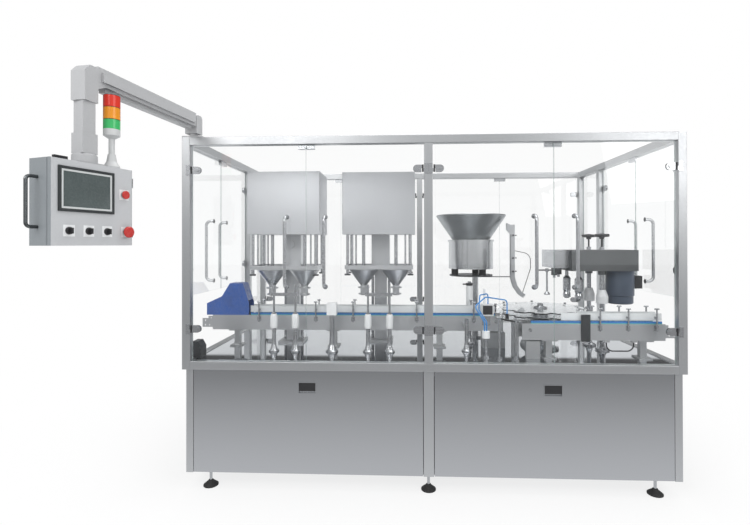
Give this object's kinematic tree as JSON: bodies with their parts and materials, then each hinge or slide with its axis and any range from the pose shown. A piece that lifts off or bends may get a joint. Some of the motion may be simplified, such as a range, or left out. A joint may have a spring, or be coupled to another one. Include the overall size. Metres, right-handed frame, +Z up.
{
  "type": "bottle filling line",
  "caption": "Glazed bottle filling and capping line on a steel cabinet, with conveyors, auger fillers, star wheel, cap feeder and operator panel on an arm.",
  "frame": {"origin": "on the floor under the middle front foot", "axes": "+X along the line from infeed to outfeed, +Y from the operator's side to the back, +Z up"},
  "size_m": [3.2286, 2.5696, 2.293],
  "materials": {
    "acrylic": "clear acrylic",
    "black_plastic": "matt black plastic",
    "black_rubber": "black rubber",
    "glass": "clear toughened glass",
    "grey_paint": "pale grey powder coat",
    "lens": "translucent lenses",
    "mirror_steel": "polished stainless table",
    "motor_paint": "dark blue motor paint",
    "red_plastic": "glossy red plastic",
    "screen": "dark grey bezel and glass",
    "stainless": "fine brushed stainless sheet and tube",
    "turned_steel": "polished turned stainless"
  },
  "bodies": {
    "root": {"cabinet_frame": "stainless", "cabinet_panels": "stainless", "table_top": "mirror_steel", "levelling_feet": "black_rubber", "guard_frame": "stainless", "side_glass": "glass", "hinge_plates": "stainless", "infeed_conveyor": "stainless", "outfeed_conveyor": "stainless", "guide_rails": "stainless", "filler_housings": "stainless", "filler_stands": "stainless", "hoppers": "stainless", "pillars": "turned_steel", "dial_base": "acrylic", "capper_posts": "turned_steel", "feeder_stand": "stainless", "cap_chute": "stainless", "air_manifold": "stainless"},
    "front_door_1": {"front_door_1": "glass"},
    "front_door_2": {"front_door_2": "glass"},
    "front_door_3": {"front_door_3": "glass"},
    "front_door_4": {"front_door_4": "glass"},
    "left_door_1": {"left_door_1": "glass"},
    "left_door_2": {"left_door_2": "glass"},
    "right_door_1": {"right_door_1": "glass"},
    "right_door_2": {"right_door_2": "glass"},
    "back_door_1": {"back_door_1": "glass"},
    "back_door_2": {"back_door_2": "glass"},
    "back_door_3": {"back_door_3": "glass"},
    "back_door_4": {"back_door_4": "glass"},
    "cabinet_door_left": {"cabinet_door_left": "stainless"},
    "door_latch_left": {"door_latch_left": "black_plastic"},
    "cabinet_door_right": {"cabinet_door_right": "stainless"},
    "door_latch_right": {"door_latch_right": "black_plastic"},
    "infeed_sprocket": {"infeed_sprocket": "turned_steel"},
    "outfeed_sprocket": {"outfeed_sprocket": "turned_steel"},
    "auger_1": {"auger_1": "turned_steel"},
    "auger_2": {"auger_2": "turned_steel"},
    "auger_3": {"auger_3": "turned_steel"},
    "auger_4": {"auger_4": "turned_steel"},
    "lift_bar_1": {"lift_bar_1": "turned_steel"},
    "lift_bar_2": {"lift_bar_2": "turned_steel"},
    "star_wheel": {"star_wheel": "acrylic"},
    "capper": {"capper_housing": "stainless", "capper_motor": "motor_paint"},
    "capping_head_1": {"capping_head_1": "turned_steel"},
    "capping_head_2": {"capping_head_2": "turned_steel"},
    "handwheel_1": {"handwheel_1": "black_plastic"},
    "handwheel_2": {"handwheel_2": "black_plastic"},
    "feeder_bowl": {"feeder_bowl": "stainless"},
    "hmi_arm": {"hmi_arm": "grey_paint"},
    "hmi_box": {"hmi_box": "grey_paint", "hmi_screen": "screen", "stack_light": "lens"},
    "selector_knob_1": {"selector_knob_1": "black_plastic"},
    "selector_knob_2": {"selector_knob_2": "black_plastic"},
    "selector_knob_3": {"selector_knob_3": "black_plastic"},
    "start_button": {"start_button": "red_plastic"},
    "stop_button": {"stop_button": "red_plastic"}
  },
  "joints": [
    {"name": "front_door_1_hinge", "type": "hinge", "parent": "root", "child": "front_door_1", "pos_m": [-1.441, -0.076, 1.45], "axis": [0, 0, -1], "range_deg": [0, 75]},
    {"name": "front_door_2_hinge", "type": "hinge", "parent": "root", "child": "front_door_2", "pos_m": [-0.034, -0.076, 1.45], "axis": [0, 0, 1], "range_deg": [0, 80]},
    {"name": "front_door_3_hinge", "type": "hinge", "parent": "root", "child": "front_door_3", "pos_m": [0.034, -0.076, 1.45], "axis": [0, 0, -1], "range_deg": [0, 80]},
    {"name": "front_door_4_hinge", "type": "hinge", "parent": "root", "child": "front_door_4", "pos_m": [1.441, -0.076, 1.45], "axis": [0, 0, 1], "range_deg": [0, 105]},
    {"name": "left_door_1_hinge", "type": "hinge", "parent": "root", "child": "left_door_1", "pos_m": [-1.501, -0.016, 1.45], "axis": [0, 0, 1], "range_deg": [0, 100]},
    {"name": "left_door_2_hinge", "type": "hinge", "parent": "root", "child": "left_door_2", "pos_m": [-1.501, 1.008, 1.45], "axis": [0, 0, -1], "range_deg": [0, 100]},
    {"name": "right_door_1_hinge", "type": "hinge", "parent": "root", "child": "right_door_1", "pos_m": [1.501, -0.016, 1.45], "axis": [0, 0, -1], "range_deg": [0, 100]},
    {"name": "right_door_2_hinge", "type": "hinge", "parent": "root", "child": "right_door_2", "pos_m": [1.501, 1.008, 1.45], "axis": [0, 0, 1], "range_deg": [0, 100]},
    {"name": "back_door_1_hinge", "type": "hinge", "parent": "root", "child": "back_door_1", "pos_m": [-1.441, 1.486, 1.45], "axis": [0, 0, 1], "range_deg": [0, 105]},
    {"name": "back_door_2_hinge", "type": "hinge", "parent": "root", "child": "back_door_2", "pos_m": [-0.034, 1.486, 1.45], "axis": [0, 0, -1], "range_deg": [0, 85]},
    {"name": "back_door_3_hinge", "type": "hinge", "parent": "root", "child": "back_door_3", "pos_m": [0.034, 1.486, 1.45], "axis": [0, 0, 1], "range_deg": [0, 85]},
    {"name": "back_door_4_hinge", "type": "hinge", "parent": "root", "child": "back_door_4", "pos_m": [1.441, 1.486, 1.45], "axis": [0, 0, -1], "range_deg": [0, 105]},
    {"name": "cabinet_door_left_tilt", "type": "hinge", "parent": "root", "child": "cabinet_door_left", "pos_m": [-0.73575, -0.04, 0.113], "axis": [1, 0, 0], "range_deg": [0, 15]},
    {"name": "door_latch_left_pull", "type": "hinge", "parent": "cabinet_door_left", "child": "door_latch_left", "pos_m": [-0.73575, -0.046, 0.65], "axis": [-1, 0, 0], "range_deg": [0, 35], "stiffness_Nm_per_rad": 0.3},
    {"name": "cabinet_door_right_tilt", "type": "hinge", "parent": "root", "child": "cabinet_door_right", "pos_m": [0.73575, -0.04, 0.113], "axis": [1, 0, 0], "range_deg": [0, 15]},
    {"name": "door_latch_right_pull", "type": "hinge", "parent": "cabinet_door_right", "child": "door_latch_right", "pos_m": [0.73575, -0.046, 0.65], "axis": [-1, 0, 0], "range_deg": [0, 35], "stiffness_Nm_per_rad": 0.3},
    {"name": "infeed_sprocket_turn", "type": "hinge", "parent": "root", "child": "infeed_sprocket", "pos_m": [0.481, 0.415, 0.962], "axis": [0, 1, 0], "continuous": true},
    {"name": "outfeed_sprocket_turn", "type": "hinge", "parent": "root", "child": "outfeed_sprocket", "pos_m": [0.635, 0.13, 0.962], "axis": [0, 1, 0], "continuous": true},
    {"name": "auger_1_turn", "type": "hinge", "parent": "root", "child": "auger_1", "pos_m": [-1.082, 0.415, 1.35], "axis": [0, 0, -1], "continuous": true},
    {"name": "auger_2_turn", "type": "hinge", "parent": "root", "child": "auger_2", "pos_m": [-0.85, 0.415, 1.35], "axis": [0, 0, -1], "continuous": true},
    {"name": "auger_3_turn", "type": "hinge", "parent": "root", "child": "auger_3", "pos_m": [-0.436, 0.47, 1.35], "axis": [0, 0, -1], "continuous": true},
    {"name": "auger_4_turn", "type": "hinge", "parent": "root", "child": "auger_4", "pos_m": [-0.204, 0.47, 1.35], "axis": [0, 0, -1], "continuous": true},
    {"name": "lift_bar_1_slide", "type": "slide", "parent": "root", "child": "lift_bar_1", "axis": [0, 0, 1], "range_m": [0, 0.06]},
    {"name": "lift_bar_2_slide", "type": "slide", "parent": "root", "child": "lift_bar_2", "axis": [0, 0, 1], "range_m": [0, 0.06]},
    {"name": "star_wheel_turn", "type": "hinge", "parent": "root", "child": "star_wheel", "pos_m": [0.791, 0.395, 1.03], "axis": [0, 0, -1], "continuous": true},
    {"name": "capper_lift", "type": "slide", "parent": "root", "child": "capper", "axis": [0, 0, 1], "range_m": [-0.03, 0.05]},
    {"name": "capping_head_1_turn", "type": "hinge", "parent": "capper", "child": "capping_head_1", "pos_m": [1.0179, 0.526, 1.2], "axis": [0, 0, -1], "continuous": true},
    {"name": "capping_head_2_turn", "type": "hinge", "parent": "capper", "child": "capping_head_2", "pos_m": [1.053, 0.395, 1.2], "axis": [0, 0, -1], "continuous": true},
    {"name": "handwheel_1_turn", "type": "hinge", "parent": "root", "child": "handwheel_1", "pos_m": [1.163, 0.5, 1.552], "axis": [0, 0, 1], "range_deg": [-1080, 1800]},
    {"name": "handwheel_2_turn", "type": "hinge", "parent": "root", "child": "handwheel_2", "pos_m": [1.186, 0.34, 1.552], "axis": [0, 0, 1], "range_deg": [-1080, 1800]},
    {"name": "bowl_shake", "type": "hinge", "parent": "root", "child": "feeder_bowl", "pos_m": [0.372, 0.775, 1.6], "axis": [0, 0, 1], "range_deg": [-1.5, 1.5], "stiffness_Nm_per_rad": 800},
    {"name": "arm_swing", "type": "hinge", "parent": "root", "child": "hmi_arm", "pos_m": [-1.437, -0.05, 2.253], "axis": [0, 0, 1], "range_deg": [-75, 0]},
    {"name": "panel_swivel", "type": "hinge", "parent": "hmi_arm", "child": "hmi_box", "pos_m": [-1.552, -0.852, 2], "axis": [0, 0, 1], "range_deg": [-60, 60]},
    {"name": "selector_knob_1_turn", "type": "hinge", "parent": "hmi_box", "child": "selector_knob_1", "pos_m": [-1.52726, -0.97874, 1.554], "axis": [0.9516, -0.3074, 0], "range_deg": [-45, 45]},
    {"name": "selector_knob_2_turn", "type": "hinge", "parent": "hmi_box", "child": "selector_knob_2", "pos_m": [-1.50082, -0.8969, 1.554], "axis": [0.9516, -0.3074, 0], "range_deg": [-45, 45]},
    {"name": "selector_knob_3_turn", "type": "hinge", "parent": "hmi_box", "child": "selector_knob_3", "pos_m": [-1.47439, -0.81507, 1.554], "axis": [0.9516, -0.3074, 0], "range_deg": [-45, 45]},
    {"name": "start_press", "type": "slide", "parent": "hmi_box", "child": "start_button", "axis": [-0.9516, 0.3074, 0], "range_m": [0, 0.004], "stiffness_N_per_m": 300},
    {"name": "stop_press", "type": "slide", "parent": "hmi_box", "child": "stop_button", "axis": [-0.9516, 0.3074, 0], "range_m": [0, 0.005], "stiffness_N_per_m": 500}
  ],
  "couplings": [
    {"joint": "handwheel_1_turn", "follows": "capper_lift", "rad_per_m": 628.32},
    {"joint": "handwheel_2_turn", "follows": "capper_lift", "rad_per_m": 628.32}
  ]
}
